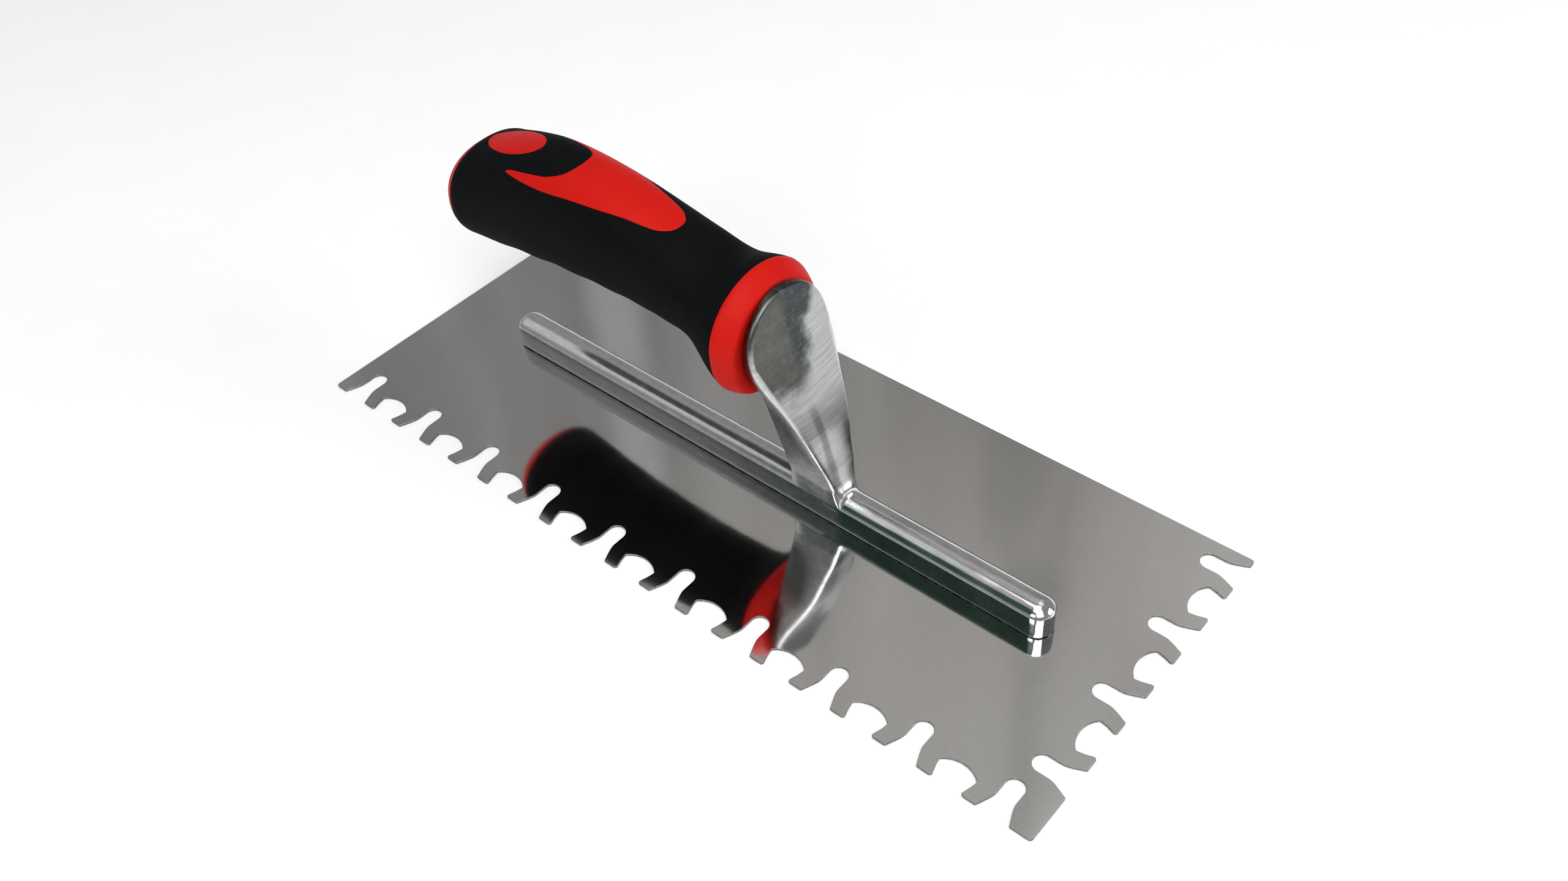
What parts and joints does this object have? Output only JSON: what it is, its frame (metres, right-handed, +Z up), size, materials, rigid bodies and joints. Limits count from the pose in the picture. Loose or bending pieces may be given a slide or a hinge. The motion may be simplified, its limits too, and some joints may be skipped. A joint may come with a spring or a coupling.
{
  "type": "notched trowel",
  "caption": "Rectangular sheet-steel notched trowel with a slot-and-arch row on one long and one short edge, a cast bar and shank, and a two-colour hand grip.",
  "frame": {"origin": "centre of the blade's flat underside, which is also the bottom centre of the whole trowel's box", "axes": "+Z up from the blade towards the grip, +X towards the notched short edge, -Y towards the notched long edge"},
  "size_m": [0.28, 0.115, 0.0899],
  "materials": {
    "blade_steel": "mirror polished",
    "rivet_steel": "polished flush",
    "cast_aluminium": "polished, brushed across the shank",
    "core_plastic": "satin moulded",
    "red_plastic": "semi-matte moulded",
    "soft_grip": "matte fine-grained thermoplastic rubber",
    "screw_steel": "zinc plated"
  },
  "bodies": {
    "root": {"blade": "blade_steel", "blade_rivets": "rivet_steel", "mount_casting": "cast_aluminium", "handle_core": "core_plastic", "grip_overmould": "soft_grip", "front_collar": "red_plastic", "inlay_leaf": "red_plastic", "inlay_dot": "red_plastic", "butt_cap": "red_plastic", "tang_screw": "screw_steel", "tang_washer": "screw_steel"}
  },
  "joints": []
}
